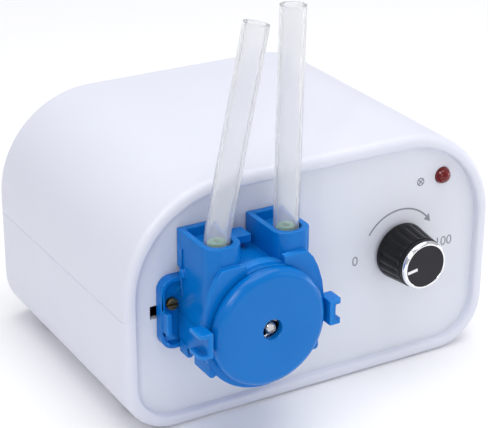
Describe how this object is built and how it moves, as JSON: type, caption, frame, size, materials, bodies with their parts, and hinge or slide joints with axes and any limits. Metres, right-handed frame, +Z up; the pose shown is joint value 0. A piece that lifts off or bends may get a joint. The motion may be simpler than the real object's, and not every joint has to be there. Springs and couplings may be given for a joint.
{
  "type": "peristaltic pump",
  "caption": "Desktop peristaltic pump: white case with a speed knob and lamp, and a blue roller head with hose tails.",
  "frame": {"origin": "middle of the case's flat underside", "axes": "+Z up, +X to the right seen from the front, the front panel and pump head face -Y"},
  "size_m": [0.12, 0.1076, 0.12],
  "materials": {
    "case_white": "satin white moulded ABS with a very fine texture",
    "panel_grey": "satin light grey sheet with grey print",
    "pump_blue": "glossy bright blue moulded plastic",
    "hose_clear": "translucent milky silicone",
    "tube_clear": "translucent silicone",
    "barb_green": "pale green moulded plastic",
    "knob_black": "satin black fluted plastic",
    "knob_face": "dark grey satin face",
    "knob_chrome": "bright turned rim",
    "pointer_white": "white inlay",
    "lamp_red": "red tinted epoxy lens",
    "steel": "turned or plated steel",
    "screw_brass": "yellow passivated steel",
    "socket_black": "black moulded plastic",
    "can_steel": "zinc plated drawn steel",
    "magnet": "sintered ferrite",
    "winding": "enamelled copper on a laminated core",
    "board_green": "solder mask on glass laminate",
    "terminal_green": "green moulded terminal block",
    "component_dark": "component sleeve and package",
    "wire_red": "red insulation",
    "wire_black": "black insulation",
    "wire_grey": "grey insulation"
  },
  "bodies": {
    "case": {"upper_shell": "case_white", "lower_shell": "case_white", "case_screws": "steel", "front_panel": "panel_grey", "rear_panel": "panel_grey", "dc_jack": "socket_black", "dc_jack_pin": "screw_brass", "dc_jack_nut": "steel", "jack_leads": "wire_black", "led": "lamp_red", "led_leads": "wire_red", "pot_body": "can_steel", "pot_washer": "steel", "pot_nut": "steel", "pot_leads": "wire_grey", "control_board": "board_green", "board_screws": "steel", "board_capacitor": "component_dark", "board_terminals": "terminal_green", "driver_chip": "component_dark", "motor_can": "can_steel", "motor_magnets": "magnet", "motor_brushes": "component_dark", "motor_end_cap": "socket_black", "motor_terminals": "screw_brass", "motor_screws": "steel", "motor_leads": "wire_red", "base_bracket": "pump_blue", "bracket_screws": "screw_brass", "bracket_nuts": "steel", "pump_housing": "pump_blue", "pump_tube": "tube_clear", "tube_barbs": "barb_green", "inlet_tube": "hose_clear", "outlet_tube": "hose_clear"},
    "rotor": {"rotor_front": "pump_blue", "rotor_rear": "pump_blue", "roller_pins": "steel"},
    "roller_1": {"roller_1": "steel"},
    "roller_2": {"roller_2": "steel"},
    "roller_3": {"roller_3": "steel"},
    "motor_rotor": {"motor_shaft": "steel", "motor_armature": "winding", "drive_sleeve": "steel"},
    "knob": {"knob_body": "knob_black", "knob_ring": "knob_chrome", "knob_cap": "knob_face", "knob_pointer": "pointer_white", "pot_shaft": "steel"}
  },
  "joints": [
    {"name": "rotor_spin", "type": "hinge", "parent": "case", "child": "rotor", "pos_m": [-0.0273, -0.0526, 0.0362], "axis": [0, -1, 0], "continuous": true},
    {"name": "motor_spin", "type": "hinge", "parent": "case", "child": "motor_rotor", "pos_m": [-0.0273, -0.0526, 0.0362], "axis": [0, -1, 0], "continuous": true},
    {"name": "roller_1_spin", "type": "hinge", "parent": "rotor", "child": "roller_1", "pos_m": [-0.02263, -0.0526, 0.04176], "axis": [0, -1, 0], "continuous": true},
    {"name": "roller_2_spin", "type": "hinge", "parent": "rotor", "child": "roller_2", "pos_m": [-0.03445, -0.0526, 0.03746], "axis": [0, -1, 0], "continuous": true},
    {"name": "roller_3_spin", "type": "hinge", "parent": "rotor", "child": "roller_3", "pos_m": [-0.02482, -0.0526, 0.02938], "axis": [0, -1, 0], "continuous": true},
    {"name": "knob_turn", "type": "hinge", "parent": "case", "child": "knob", "pos_m": [0.0295, -0.0466, 0.0365], "axis": [0, 1, 0], "range_deg": [-50, 250]}
  ],
  "couplings": [
    {"joint": "motor_spin", "follows": "rotor_spin", "ratio": 9.075},
    {"joint": "roller_1_spin", "follows": "rotor_spin", "ratio": -2.2827},
    {"joint": "roller_2_spin", "follows": "rotor_spin", "ratio": -2.2827},
    {"joint": "roller_3_spin", "follows": "rotor_spin", "ratio": -2.2827}
  ]
}
